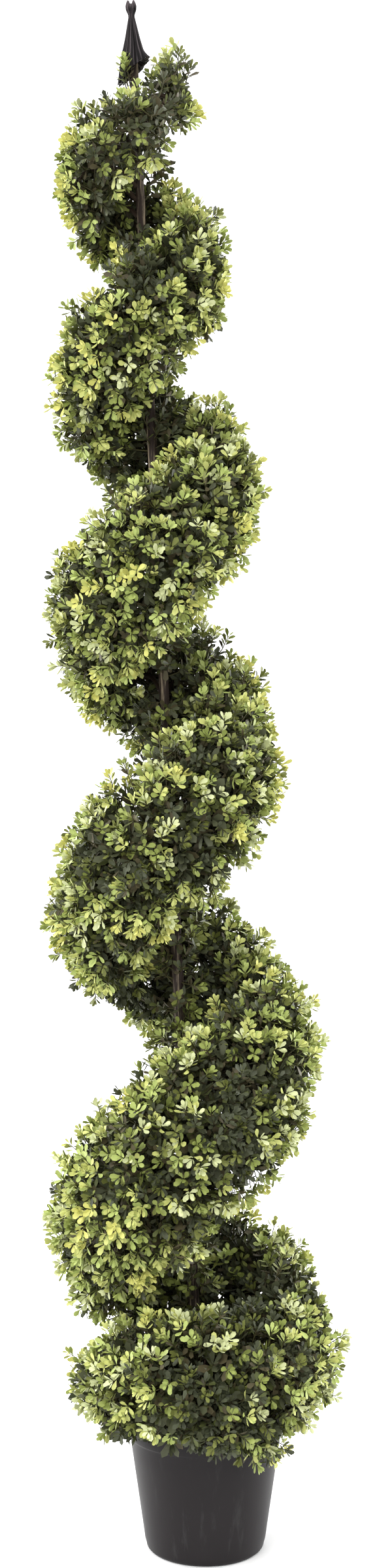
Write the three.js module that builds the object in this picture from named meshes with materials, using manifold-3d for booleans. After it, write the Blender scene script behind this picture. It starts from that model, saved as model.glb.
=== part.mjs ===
// Artificial boxwood spiral in a nursery pot. Millimetres, +Z up, front towards -Y.
// The origin is the middle of the pot's flat underside. The pole leans towards -X and
// carries one strand of foliage, which winds down it and ends as a ring round the pot's mouth.
import * as THREE from "three";
import { mergeVertices } from "three/addons/utils/BufferGeometryUtils.js";
import Module from "manifold-3d";

const wasm = await Module();
wasm.setup();

const HEIGHT = 1832; // along the pole, from the floor to the top of the tip sheath
const LEAN = Math.atan(0.0483); // of the pole from plumb
const GAP = 0.3; // left between pieces that touch

// Pot: an open tapered shell with a band round its mouth.
const POT_HEIGHT = 155;
const POT_FOOT_RADIUS = 69.5;
const POT_WALL_SLOPE = 0.148; // radius gained per mm of height
const POT_EDGE_RADIUS = 5;
const POT_WALL = 2.5;
const POT_FLOOR = 4;
const BAND_HEIGHT = 21;
const BAND_PROUD = 2.2;
const POT_SIDES = 40;

// Ballast cast into the pot, which holds the foot of the pole.
const BALLAST_TOP = 112;

// Pole, measured along its own axis.
const POLE_FOOT = 20;
const POLE_TOP = 1778;
const POLE_FOOT_RADIUS = 8;
const POLE_TOP_RADIUS = 5.5;
const POLE_SIDES = 16;

// Tip sheath: a pleated skirt, drawn in to a neck and tied off in a small knob.
const SHEATH_HEM = 1749; // height of the hem on the axis
const HEM_SLANT = 0.8; // rise of the hem per mm towards +X
const SHEATH_RADIUS = 17.5;
const NECK_HEIGHT = 1812;
const NECK_RADIUS = 4.2;
const KNOB_RADIUS = 6.8;
const PLEATS = 9;
const PLEAT_DEPTH = 0.09; // of the radius
const SHEATH_SIDES = 36;

// Strand of foliage. A place along it is t, in turns from its top end.
const TURNS = 5.75;
const START_ANGLE = 55 * (Math.PI / 180); // of the top end, from +X towards +Y
const RING_HEIGHT = 197; // of the strand's middle at its lower end
const PITCH_TOP = 140;
const PITCH_LOW = 423;
const PITCH_POWER = 0.68;
const RING_PITCH = 10;
const RING_START = 4.66; // turns, where the strand starts to flatten into the ring
const RING_EASE = 0.9;
const WOUND_TURNS = 5.55; // over which the strand widens
const REACH_TOP = 84; // from the pole's axis to the strand's outer edge
const REACH_LOW = 184;
const REACH_POWER = 1.05;
const WANDER = 5; // in and out, once every two turns
const REACH_TUCK = 36; // lost where the ring closes under the strand
const TUCK_START = 5.25;
const HALF_TOP = 63; // half height of the section where the strand runs level
const HALF_LOW = 105;
const HALF_POWER = 0.876;
const TOP_END = 0.55; // turns over which the top end rounds off
const TAIL_START = 5.45;
const TAIL_LENGTH = 0.4;
const TAIL_THINNING = 0.9;
const SECTION_POWER = 1.72; // of the rounded outline of a section
const UNDERSIDE = 128; // nothing of the ring hangs lower
const MASSES = 24;
const STEPS_PER_MASS = 6;
const SECTION_POINTS = 16;
const UNEVENNESS = 0.045;

// Shoulders and hollows of the clipped surface: at a turn and an angle round the section,
// in degrees up from its outer edge, by a share of the section's size.
const SWELLS = [
  { turn: 0.7, angle: 40, by: 0.1 },
  { turn: 1.15, angle: -50, by: -0.12 },
  { turn: 1.65, angle: 60, by: -0.1 },
  { turn: 2.65, angle: -50, by: -0.12 },
  { turn: 2.97, angle: 60, by: 0.2 },
  { turn: 3.65, angle: -45, by: -0.08 },
  { turn: 5.6, angle: 60, by: 0.15 },
];
const SWELL_TURNS = 0.13;
const SWELL_ANGLE = 35;

const POTS = { color: 0x383432, roughness: 0.5, metalness: 0 };
const STONE = { color: 0x8a8a86, roughness: 0.95, metalness: 0 };
const BARK = { color: 0x5d4634, roughness: 0.85, metalness: 0 };
const SHEATH = { color: 0x2b2828, roughness: 0.7, metalness: 0 };
const LEAF = { color: 0x6f8440, roughness: 0.6, metalness: 0 };

function part(name, geometry, look) {
  const mesh = new THREE.Mesh(geometry, new THREE.MeshStandardMaterial(look));
  mesh.name = name;
  return mesh;
}

// A closed body from a profile of radius and height that runs from the axis back to the axis.
function turned(points, sides) {
  return new THREE.LatheGeometry(points, sides).rotateX(Math.PI / 2);
}

const point = (radius, height) => new THREE.Vector2(radius, height);

const potRadius = (height) => POT_FOOT_RADIUS + POT_WALL_SLOPE * height;

// Booleans: a three.js geometry to a manifold-3d solid and back.
function solid(geometry) {
  const bare = geometry.clone();
  bare.deleteAttribute("normal");
  bare.deleteAttribute("uv");
  const merged = mergeVertices(bare, 1e-3);
  return new wasm.Manifold(
    new wasm.Mesh({
      numProp: 3,
      vertProperties: new Float32Array(merged.attributes.position.array),
      triVerts: new Uint32Array(merged.index.array),
    }),
  );
}

function cut(geometry, tool) {
  const mesh = solid(geometry).subtract(solid(tool)).getMesh();
  const result = new THREE.BufferGeometry();
  result.setAttribute("position", new THREE.BufferAttribute(mesh.vertProperties, 3));
  result.setIndex(new THREE.BufferAttribute(mesh.triVerts, 1));
  return result;
}

function potGeometry() {
  const outline = new THREE.Path();
  const bandFoot = POT_HEIGHT - BAND_HEIGHT;
  const lip = potRadius(POT_HEIGHT) + BAND_PROUD;
  outline.moveTo(0, 0);
  outline.lineTo(POT_FOOT_RADIUS - POT_EDGE_RADIUS, 0);
  outline.quadraticCurveTo(POT_FOOT_RADIUS, 0, potRadius(POT_EDGE_RADIUS), POT_EDGE_RADIUS);
  outline.lineTo(potRadius(bandFoot), bandFoot);
  outline.lineTo(potRadius(bandFoot) + BAND_PROUD, bandFoot);
  outline.lineTo(lip, POT_HEIGHT - 1.5);
  outline.lineTo(lip - 1.5, POT_HEIGHT);
  outline.lineTo(potRadius(POT_HEIGHT) - POT_WALL, POT_HEIGHT);
  outline.lineTo(potRadius(POT_FLOOR) - POT_WALL, POT_FLOOR);
  outline.lineTo(0, POT_FLOOR);
  return turned(outline.getPoints(4), POT_SIDES);
}

// The pot's outer shape with the gap added, which the foliage keeps clear of.
function potClearance() {
  const radius = (height) => potRadius(height) + BAND_PROUD + 2 * GAP;
  const top = POT_HEIGHT + GAP;
  return turned([point(0, 0), point(radius(0), 0), point(radius(top), top), point(0, top)], POT_SIDES);
}

function ballastGeometry() {
  const radius = (height) => potRadius(height) - POT_WALL - 2 * GAP;
  const foot = POT_FLOOR + GAP;
  const body = turned(
    [point(0, foot), point(radius(foot), foot), point(radius(BALLAST_TOP), BALLAST_TOP), point(0, BALLAST_TOP)],
    POT_SIDES,
  );
  const socket = POLE_FOOT_RADIUS + 2 * GAP;
  const from = POLE_FOOT - GAP;
  const bore = turned(
    [point(0, from), point(socket, from), point(socket, 2 * BALLAST_TOP), point(0, 2 * BALLAST_TOP)],
    POLE_SIDES,
  ).rotateY(-LEAN);
  return cut(body, bore);
}

function poleGeometry() {
  const length = POLE_TOP - POLE_FOOT;
  return new THREE.CylinderGeometry(POLE_TOP_RADIUS, POLE_FOOT_RADIUS, length, POLE_SIDES, 8)
    .rotateX(Math.PI / 2)
    .translate(0, 0, POLE_FOOT + length / 2);
}

const poleRadius = (height) =>
  THREE.MathUtils.mapLinear(height, POLE_FOOT, POLE_TOP, POLE_FOOT_RADIUS, POLE_TOP_RADIUS);

// The skirt follows one curve from hem to neck. Its outer points are pleated, and all of
// its lower points are slanted with the hem.
function sheathGeometry() {
  const bore = POLE_TOP_RADIUS + 0.5 + GAP;
  const skirt = new THREE.CubicBezierCurve(
    point(SHEATH_RADIUS, SHEATH_HEM),
    point(SHEATH_RADIUS * 0.62, SHEATH_HEM + 22),
    point(NECK_RADIUS * 1.1, NECK_HEIGHT - 18),
    point(NECK_RADIUS, NECK_HEIGHT),
  ).getPoints(6);
  const knob = [
    point(NECK_RADIUS * 1.12, NECK_HEIGHT + 5),
    point(KNOB_RADIUS, NECK_HEIGHT + 12),
    point(KNOB_RADIUS * 0.9, HEIGHT - 3),
    point(KNOB_RADIUS * 0.45, HEIGHT),
    point(0, HEIGHT),
  ];
  const inside = [point(0, POLE_TOP + GAP), point(bore, POLE_TOP + GAP), point(bore, SHEATH_HEM)];
  const profile = [...inside, ...skirt, ...knob];
  const geometry = turned(profile, SHEATH_SIDES);
  const place = geometry.attributes.position;
  for (let i = 0; i < place.count; i++) {
    const along = i % profile.length;
    const [x, y, z] = [place.getX(i), place.getY(i), place.getZ(i)];
    const pleated = along >= inside.length && along < profile.length - 2;
    const fold = pleated ? 1 - PLEAT_DEPTH * (1 - Math.cos(PLEATS * Math.atan2(y, x))) : 1;
    const slanted = along > 1 ? THREE.MathUtils.clamp((POLE_TOP - 4 - z) / 25, 0, 1) : 0;
    place.setXYZ(i, x * fold, y * fold, z + HEM_SLANT * x * slanted);
  }
  return geometry;
}

// The strand's shape, as functions of the turn t.
const ease = (from, length, t) => THREE.MathUtils.smoothstep(t, from, from + length);

function pitch(t) {
  const wound = PITCH_TOP + (PITCH_LOW - PITCH_TOP) * (t / WOUND_TURNS) ** PITCH_POWER;
  return THREE.MathUtils.lerp(wound, RING_PITCH, ease(RING_START, RING_EASE, t));
}

function strandHeight(t) {
  const steps = 200;
  const step = (TURNS - t) / steps;
  let height = RING_HEIGHT;
  for (let i = 0; i < steps; i++) height += step * pitch(t + (i + 0.5) * step);
  return height;
}

const topRounding = (t) => Math.sqrt(Math.max(0.02, 1 - (1 - Math.min(t / TOP_END, 1)) ** 2));

function reach(t) {
  const full = REACH_TOP + (REACH_LOW - REACH_TOP) * (t / WOUND_TURNS) ** REACH_POWER;
  const wander = WANDER * Math.cos(Math.PI * (t - 0.15));
  return (full + wander) * (0.35 + 0.65 * topRounding(t)) - REACH_TUCK * ease(TUCK_START, TAIL_LENGTH, t);
}

function halfHeight(t) {
  const level = HALF_TOP + (HALF_LOW - HALF_TOP) * (t / WOUND_TURNS) ** HALF_POWER;
  const slope = pitch(t) / (Math.PI * reach(t));
  const tail = 1 - TAIL_THINNING * ease(TAIL_START, TAIL_LENGTH, t);
  return level * Math.hypot(1, slope) * topRounding(t) * tail;
}

// Lumps of the trimmed surface: a factor near 1 that fades out towards the pole.
function lump(t, angle) {
  const outer = (1 + Math.cos(angle)) / 2;
  const waves =
    Math.sin(17 * t + 2 * angle) + Math.sin(29 * t - 3 * angle + 1.3) + 0.7 * Math.sin(47 * t + angle + 4);
  const swell = SWELLS.reduce((sum, { turn, angle: middle, by }) => {
    const aside = THREE.MathUtils.euclideanModulo(THREE.MathUtils.radToDeg(angle) - middle + 180, 360) - 180;
    return sum + by * Math.exp(-(((t - turn) / SWELL_TURNS) ** 2) - (aside / SWELL_ANGLE) ** 2);
  }, 0);
  return 1 + UNEVENNESS * outer * waves + swell;
}

// A point of the section at turn t: angle 0 is its outer edge, half a turn is at the pole.
function strandPoint(t, angle, shift) {
  const middle = strandHeight(t);
  const inner = (poleRadius(middle) + 2 * GAP) * 1.02;
  const half = (reach(t) - inner) / 2;
  const power = 2 / SECTION_POWER;
  const [c, s] = [Math.cos(angle), Math.sin(angle)];
  const grown = lump(t, angle);
  const radius = inner + half * (1 + grown * Math.sign(c) * Math.abs(c) ** power);
  const height = middle + halfHeight(t) * grown * Math.sign(s) * Math.abs(s) ** power;
  const theta = START_ANGLE - 2 * Math.PI * t;
  const [cx, sx] = [Math.cos(theta), Math.sin(theta)];
  return new THREE.Vector3(
    Math.max(radius, inner) * cx + shift * sx,
    Math.max(radius, inner) * sx - shift * cx,
    Math.max(height, UNDERSIDE),
  );
}

// One mass: sections from turn t0 to t1, closed at both ends by flat faces in the planes of
// the pole's axis, each set back by half the gap.
function massGeometry(t0, t1) {
  const places = [];
  const faces = [];
  const n = SECTION_POINTS;
  for (let i = 0; i <= STEPS_PER_MASS; i++) {
    const t = THREE.MathUtils.lerp(t0, t1, i / STEPS_PER_MASS);
    const shift = i === 0 ? GAP / 2 : i === STEPS_PER_MASS ? -GAP / 2 : 0;
    for (let j = 0; j < n; j++) places.push(strandPoint(t, (2 * Math.PI * j) / n, shift));
  }
  for (let i = 0; i < STEPS_PER_MASS; i++)
    for (let j = 0; j < n; j++) {
      const [a, b] = [i * n + j, i * n + ((j + 1) % n)];
      faces.push(a, b, b + n, a, b + n, a + n);
    }
  const last = STEPS_PER_MASS * n;
  for (const [ring, turnRound] of [[0, true], [last, false]]) {
    const middle = new THREE.Vector3();
    for (let j = 0; j < n; j++) middle.addScaledVector(places[ring + j], 1 / n);
    places.push(middle);
    for (let j = 0; j < n; j++) {
      const [a, b] = [ring + j, ring + ((j + 1) % n)];
      faces.push(places.length - 1, turnRound ? b : a, turnRound ? a : b);
    }
  }
  return new THREE.BufferGeometry().setFromPoints(places).setIndex(faces);
}

function foliage() {
  const group = new THREE.Group();
  const clearance = potClearance().rotateY(LEAN); // the pot, as it stands to the leaning pole
  for (let i = 0; i < MASSES; i++) {
    const [t0, t1] = [(TURNS * i) / MASSES, (TURNS * (i + 1)) / MASSES];
    const whole = massGeometry(t0, t1);
    const geometry = t1 > RING_START ? cut(whole, clearance) : whole;
    group.add(part("foliage_" + String(i + 1).padStart(2, "0"), geometry, LEAF));
  }
  return group;
}

const topiary = new THREE.Group();
const leaning = new THREE.Group();
leaning.rotation.y = -LEAN;
leaning.add(part("pole", poleGeometry(), BARK), part("tip_sheath", sheathGeometry(), SHEATH), foliage());
topiary.add(part("pot", potGeometry(), POTS), part("ballast", ballastGeometry(), STONE), leaning);

export default topiary;
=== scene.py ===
"""Looks of an artificial boxwood spiral in a nursery pot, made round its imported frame.

Metres, +Z up, front towards -Y. The foliage is one strand wound down the pole: boughs leave
the pole, fork into limbs and twigs, and end in sprigs of leaves that reach the strand's surface.
"""

import math

import bpy
import numpy as np
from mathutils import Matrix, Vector, noise
from mathutils.kdtree import KDTree


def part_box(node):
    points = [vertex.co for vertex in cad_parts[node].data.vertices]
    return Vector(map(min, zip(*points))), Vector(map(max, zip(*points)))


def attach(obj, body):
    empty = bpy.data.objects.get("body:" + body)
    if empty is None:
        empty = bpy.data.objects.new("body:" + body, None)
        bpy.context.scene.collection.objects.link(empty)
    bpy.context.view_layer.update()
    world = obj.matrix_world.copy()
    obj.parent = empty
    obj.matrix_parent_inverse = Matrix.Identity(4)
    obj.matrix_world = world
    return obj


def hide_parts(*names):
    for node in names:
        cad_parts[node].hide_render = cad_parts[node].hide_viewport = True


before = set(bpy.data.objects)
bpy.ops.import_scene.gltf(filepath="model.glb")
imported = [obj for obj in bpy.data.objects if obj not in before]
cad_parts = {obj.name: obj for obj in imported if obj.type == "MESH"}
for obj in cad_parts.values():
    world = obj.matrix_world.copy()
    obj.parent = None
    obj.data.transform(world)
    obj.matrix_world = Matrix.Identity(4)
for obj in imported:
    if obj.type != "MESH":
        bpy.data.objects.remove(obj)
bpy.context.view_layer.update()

bl_info = {
    "name": "Spiral Topiary",
    "version": (1, 0, 0),
    "blender": (4, 5, 0),
    "location": "View3D > Sidebar > Topiary",
    "description": "Makes the looks of an artificial boxwood spiral in a nursery pot",
    "category": "Object",
}

MASSES = sorted(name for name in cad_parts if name.startswith("foliage_"))
POLE_LOW, POLE_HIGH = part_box("pole")
POT_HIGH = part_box("pot")[1]
TIP_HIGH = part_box("tip_sheath")[1]


# Sizes and colours that a user would change.


def length(label, default, text):
    return bpy.props.FloatProperty(name=label, description=text, default=default, unit="LENGTH", precision=4)


def number(label, default, text):
    return bpy.props.FloatProperty(name=label, description=text, default=default, precision=3)


def count(label, default, text):
    return bpy.props.IntProperty(name=label, description=text, default=default)


def angle(label, degrees, text):
    return bpy.props.FloatProperty(
        name=label, description=text, default=math.radians(degrees), subtype="ANGLE", unit="ROTATION"
    )


def colour(label, text, *rgb):
    linear = [(c / 255 / 12.92) if c < 11 else ((c / 255 + 0.055) / 1.055) ** 2.4 for c in rgb]
    return bpy.props.FloatVectorProperty(
        name=label, description=text, default=linear, subtype="COLOR", size=3, min=0, max=1
    )


class StrandSizes(bpy.types.PropertyGroup):
    """The wound strand, in the pole's own frame."""

    lean: angle("Lean", math.degrees(math.atan(0.0483)), "Lean of the pole from plumb, towards -X")
    turns: number("Turns", 5.75, "Turns of the strand from its top end to its tail")
    start: angle("Start", 55, "Bearing of the top end, from +X towards +Y")
    ring_height: length("Ring Height", 0.197, "Height of the strand's middle at its tail")
    pitch_top: length("Pitch Top", 0.140, "Fall over one turn at the top")
    pitch_low: length("Pitch Low", 0.423, "Fall over one turn near the pot")
    pitch_ring: length("Pitch Ring", 0.010, "Fall over one turn in the ring round the pot")
    ring_start: number("Ring Start", 4.66, "Turn at which the strand starts to flatten into the ring")
    reach_top: length("Reach Top", 0.084, "From the pole's axis to the outer edge at the top")
    reach_low: length("Reach Low", 0.184, "From the pole's axis to the outer edge near the pot")
    wander: length("Wander", 0.005, "In and out of the edge, once every two turns")
    tuck: length("Tuck", 0.036, "Reach lost where the ring closes under the strand")
    half_top: length("Half Height Top", 0.063, "Half height of a level section at the top")
    half_low: length("Half Height Low", 0.105, "Half height of a level section near the pot")
    underside: length("Underside", 0.128, "Nothing of the ring hangs lower")


class SprigSizes(bpy.types.PropertyGroup):
    """Tufts of sprigs and their leaves."""

    spacing: length("Tuft Spacing", 0.037, "Least distance between the middles of two tufts")
    depth: length("Tuft Depth", 0.052, "From a tuft's fork to the tip of its middle sprig")
    leaf: length("Leaf Length", 0.0114, "Length of a full-grown leaf")
    bough_step: number("Bough Step", 0.08, "Turns between two boughs on the pole")
    core_spacing: length("Core Spacing", 0.030, "Least distance between deep sprigs, at the surface")
    pole_step: length("Pole Sprig Step", 0.0022, "Height between two sprigs that grow on the pole itself")
    seed: count("Seed", 11, "Seed of the branching")


class PotSizes(bpy.types.PropertyGroup):
    """The nursery pot."""

    foot: length("Foot Radius", 0.0695, "Radius of the foot")
    slope: number("Wall Slope", 0.148, "Radius gained for each unit of height")
    edge: length("Edge Radius", 0.006, "Rounding of the foot's edge")
    band: length("Band Height", 0.021, "Height of the band round the mouth")
    proud: length("Band Proud", 0.0022, "How far the band stands out of the wall")
    wall: length("Wall", 0.0025, "Thickness of the wall")


class Finishes(bpy.types.PropertyGroup):
    """Colours of the pieces."""

    plastic: colour("Pot", "Moulded plastic of the pot", 29, 26, 27)
    bark: colour("Bark", "Dark ground of the pole's bark", 40, 30, 25)
    # Light streaks along the pole: partly the grain, partly painted highlight lines.
    bark_streak: colour("Bark Streak", "Light streaks along the pole", 168, 152, 128)
    wrap: colour("Wrap", "Pleated wrap at the tip", 26, 23, 24)
    wood: colour("Bough", "Boughs and limbs", 46, 34, 24)
    twig: colour("Twig", "Stems of the sprigs", 66, 64, 36)
    butter: colour("Butter Leaf", "Yellowest tip leaves", 189, 188, 106)
    lime: colour("Lime Leaf", "Bright tip leaves", 177, 181, 108)
    pale: colour("Pale Leaf", "Greyer pale tip leaves", 185, 190, 144)
    fresh: colour("Fresh Leaf", "Light green leaves", 159, 171, 99)
    moss: colour("Moss Leaf", "Middle green leaves", 131, 141, 74)
    olive: colour("Olive Leaf", "Olive green leaves", 104, 109, 55)
    deep: colour("Deep Leaf", "Dark green leaves", 81, 87, 48)
    dusk: colour("Dusk Leaf", "Dark greyish leaves", 67, 71, 52)
    shade: colour("Shade Leaf", "Dark inner leaves", 69, 72, 51)
    umber: colour("Umber Leaf", "Brownish inner leaves", 77, 71, 50)


# Tones of the leaves. The dark ones lie inside, and their leaves have a simpler outline.
LEAF_TONES = ("butter", "lime", "pale", "fresh", "moss", "olive", "deep", "dusk", "shade", "umber")
SIMPLE_TONES = ("olive", "deep", "dusk", "shade", "umber")

# Stretches of the pole left bare: height of the middle along the pole, and length.
BARE_POLE = ((1.672, 0.02), (1.586, 0.060), (1.281, 0.034), (1.022, 0.030), (0.655, 0.012))

# Ladders of tones, from the leaves at a sprig's tip to those at its foot.
LADDERS = {
    "yellow": ("butter", "lime", "moss", "deep", "umber", "shade"),
    "bright": ("lime", "fresh", "moss", "deep", "shade", "umber"),
    "silver": ("pale", "lime", "olive", "dusk", "shade", "umber"),
    "green": ("fresh", "fresh", "olive", "dusk", "umber", "shade"),
    "mid": ("moss", "olive", "deep", "umber", "shade", "shade"),
    "dull": ("olive", "dusk", "deep", "umber", "shade", "shade"),
    "dark": ("dusk", "deep", "umber", "shade", "umber", "shade"),
    "core": ("shade", "umber", "deep", "shade", "umber", "shade"),
}

# Kinds of tuft: share of the front and of the back, depth of its tips under the strand's surface,
# and the ladders of its top, of the ring round it and of its low sprigs. The fifth kind takes
# what the first four leave, and the last one lies at the pole.
TUFTS = (
    (0.20, 0.000, ("yellow", "yellow", "bright"), ("bright", "green", "mid"), ("dull", "dark")),
    (0.24, 0.002, ("bright", "bright", "silver"), ("green", "mid", "dull"), ("dull", "dark")),
    (0.19, 0.003, ("silver", "silver", "bright"), ("mid", "mid", "dull"), ("dull", "dark")),
    (0.21, 0.008, ("green", "bright", "silver"), ("mid", "dull", "dark"), ("dark",)),
    (0.16, 0.015, ("dull", "dark", "dark"), ("dark",), ("dark",)),
    (0.0, 0.010, ("dull", "dark", "mid"), ("dull", "dark", "core"), ("core",)),
)

# Rings of sprigs in a tuft: how many, lean from its middle in degrees, length against its depth,
# how far down they bear leaves, and the column of TUFTS from which they draw their ladders.
RINGS = (
    (1, 0, 1.00, 0.034, 2),
    (3, 12, 0.98, 0.011, 2),
    (5, 33, 0.92, 0.024, 3),
    (3, 58, 0.72, 0.024, 4),
)

# Leaf pairs of a sprig: distance from its tip, spread from its stem, size and step on the ladder.
LEAF_PAIRS = (
    (0.0006, 25, 0.75, 0),
    (0.0026, 36, 0.95, 0),
    (0.0052, 46, 1.05, 0),
    (0.0084, 52, 1.05, 1),
    (0.0122, 56, 1.08, 2),
    (0.0170, 60, 1.12, 3),
    (0.0232, 65, 1.18, 4),
    (0.0310, 70, 1.25, 5),
)


# Patches of the front made darker than the rest, or lighter for less than 0, partly painted shade and painted
# light and partly duller and brighter leaves: X, Z, spread and how much.
FRONT_SHADE_AND_LIGHT = (
    (-0.090, 1.682, 0.028, 0.40),
    (-0.125, 1.610, 0.026, -0.40),
    (-0.085, 1.570, 0.022, 0.25),
    (-0.030, 1.525, 0.034, 0.85),
    (-0.115, 1.390, 0.030, -0.50),
    (-0.040, 1.320, 0.025, 0.40),
    (-0.125, 1.270, 0.025, 0.30),
    (-0.030, 1.225, 0.029, 0.20),
    (-0.130, 1.130, 0.036, -0.60),
    (0.010, 0.942, 0.036, 0.85),
    (-0.030, 0.890, 0.025, -0.30),
    (-0.130, 0.810, 0.036, 0.25),
    (0.010, 0.690, 0.033, 0.50),
    (0.075, 0.605, 0.033, -0.30),
    (0.014, 0.540, 0.036, 0.55),
    (-0.080, 0.435, 0.033, 0.20),
    (0.040, 0.415, 0.025, -0.80),
    (-0.130, 0.400, 0.036, -0.90),
    (0.060, 0.315, 0.040, 0.60),
    (-0.090, 0.310, 0.036, -1.00),
    (0.095, 0.260, 0.029, -0.20),
    (0.005, 0.215, 0.029, 0.05),
    (-0.110, 0.215, 0.036, -0.20),
    (-0.108, 0.145, 0.030, 0.50),
    (0.125, 0.150, 0.030, 0.50),
)


# The strand's shape.


def ease(start, stretch, t):
    u = np.clip((t - start) / stretch, 0, 1)
    return u * u * (3 - 2 * u)


def signed_power(wave, power):
    return np.sign(wave) * np.abs(wave) ** power


# Where the strand is fuller or thinner than its rule, or thinner for less than 0: turn, height
# above its middle, depth below it, and reach.
SWELLS = (
    (0.10, 0.000, -0.026, 0.000),
    (0.26, 0.000, -0.030, -0.007),
    (0.42, -0.014, 0.000, 0.000),
    (0.65, 0.012, -0.006, 0.000),
    (1.25, 0.000, -0.016, 0.000),
    (1.54, -0.016, 0.000, 0.000),
    (1.80, 0.000, -0.008, 0.000),
    (2.00, 0.012, 0.000, 0.000),
    (2.48, -0.010, 0.000, 0.000),
    (2.80, 0.000, -0.014, 0.000),
    (3.00, 0.022, 0.000, 0.008),
    (3.26, 0.000, -0.010, 0.000),
    (3.50, -0.008, 0.000, 0.000),
    (3.78, 0.000, -0.012, 0.000),
    (4.00, 0.010, 0.000, 0.000),
    (4.30, 0.000, -0.014, 0.000),
    (4.46, 0.010, 0.000, 0.000),
    (5.04, 0.014, 0.000, 0.012),
    (5.20, 0.000, -0.006, 0.000),
    (5.38, 0.000, -0.020, 0.000),
    (5.62, 0.014, -0.018, 0.000),
)


class Strand:
    """Places in the strand, given in turns from its top end and an angle round its section."""

    SWELL_STRETCH = 0.09
    WOUND = 5.55
    PITCH_POWER = 0.68
    REACH_POWER = 1.05
    HALF_POWER = 0.876
    END_REACH = 0.35
    UNEVENNESS = 0.0225
    RING_EASE = 0.9
    TOP_END = 0.55
    TAIL_START = 5.45
    TUCK_START = 5.25
    TAIL_STRETCH = 0.4
    TAIL_THINNING = 0.9
    SECTION_POWER = 1.72
    COVERED = 0.62

    def __init__(self, sizes):
        self.sizes = sizes
        self.inner = (POLE_HIGH.y - POLE_LOW.y) / 2 + 0.001
        self.grid = np.linspace(0, sizes.turns, 1201)
        pitch = self.pitch(self.grid)
        falls = (pitch[1:] + pitch[:-1]) / 2 * np.diff(self.grid)
        self.heights = sizes.ring_height + np.append(np.cumsum(falls[::-1])[::-1], 0)

    def pitch(self, t):
        s = self.sizes
        wound = s.pitch_top + (s.pitch_low - s.pitch_top) * (t / self.WOUND) ** self.PITCH_POWER
        return wound + (s.pitch_ring - wound) * ease(s.ring_start, self.RING_EASE, t)

    def middle(self, t):
        return np.interp(t, self.grid, self.heights)

    def rounding(self, t):
        return np.sqrt(np.maximum(0.02, 1 - (1 - np.minimum(t / self.TOP_END, 1)) ** 2))

    def reach(self, t):
        s = self.sizes
        full = s.reach_top + (s.reach_low - s.reach_top) * (t / self.WOUND) ** self.REACH_POWER
        full = full + s.wander * np.cos(np.pi * (t - 0.15))
        full = full + self.swell(t, 3)
        rounded = self.END_REACH + (1 - self.END_REACH) * self.rounding(t)
        return full * rounded - s.tuck * ease(self.TUCK_START, self.TAIL_STRETCH, t)

    def swell(self, t, column):
        return sum(row[column] * np.exp(-(((t - row[0]) / self.SWELL_STRETCH) ** 2)) for row in SWELLS)

    def half_height(self, t):
        s = self.sizes
        level = s.half_top + (s.half_low - s.half_top) * (t / self.WOUND) ** self.HALF_POWER
        slope = self.pitch(t) / (np.pi * self.reach(t))
        tail = 1 - self.TAIL_THINNING * ease(self.TAIL_START, self.TAIL_STRETCH, t)
        return level * np.hypot(1, slope) * self.rounding(t) * tail

    def covers(self, bearing, height):
        """True where a turn of the strand lies over the pole at a bearing and height."""
        first = ((self.sizes.start - bearing) / (2 * np.pi)) % 1
        over = np.zeros(len(height), bool)
        for turn in range(int(self.sizes.turns) + 1):
            t = np.minimum(first + turn, self.sizes.turns)
            over |= np.abs(height - self.middle(t)) < self.COVERED * self.half_height(t)
        return over

    def lump(self, t, a):
        waves = np.sin(17 * t + 2 * a) + np.sin(29 * t - 3 * a + 1.3) + 0.7 * np.sin(47 * t + a + 4)
        return 1 + self.UNEVENNESS * (1 + np.cos(a)) * waves

    def point(self, t, a, share=1.0):
        """The point at a share of the way from the section's middle to its surface."""
        power = 2 / self.SECTION_POWER
        half = (self.reach(t) - self.inner) / 2
        grown = self.lump(t, a) * share
        radius = self.inner + half + half * grown * signed_power(np.cos(a), power)
        upper = np.maximum(np.sin(a), 0)
        lower = np.maximum(-np.sin(a), 0)
        swollen = self.swell(t, 1) * upper - self.swell(t, 2) * lower
        height = self.middle(t) + grown * (self.half_height(t) * signed_power(np.sin(a), power) + swollen)
        height = np.maximum(height, self.sizes.underside)
        return self.placed(t, np.maximum(radius, self.inner), height)

    def placed(self, t, radius, height):
        """A point at turn t, given by its distance from the leaning pole and height along it."""
        return self.upright(self.sizes.start - 2 * np.pi * t, radius, height)

    def upright(self, bearing, radius, height):
        """A point given by its bearing round the leaning pole."""
        x, y = radius * np.cos(bearing), radius * np.sin(bearing)
        c, s = math.cos(self.sizes.lean), math.sin(self.sizes.lean)
        return np.stack([x * c - height * s, y, height * c + x * s], -1)

    def radius(self, points):
        """Distance of points from the leaning pole's axis."""
        c, s = math.cos(self.sizes.lean), math.sin(self.sizes.lean)
        return np.hypot(points[:, 0] * c + points[:, 2] * s, points[:, 1])

    def slopes(self, t, a):
        """The surface's outward normal and the area that one unit of t and a covers."""
        step = 1e-3
        along = (self.point(t + step, a) - self.point(t - step, a)) / (2 * step)
        round_it = (self.point(t, a + step) - self.point(t, a - step)) / (2 * step)
        cross = np.cross(round_it, along)
        area = np.linalg.norm(cross, axis=-1)
        outward = self.point(t, a) - self.point(t, a, 0.0)
        cross *= np.sign(np.sum(cross * outward, -1))[:, None]
        return cross / np.maximum(area, 1e-9)[:, None], area


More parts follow.
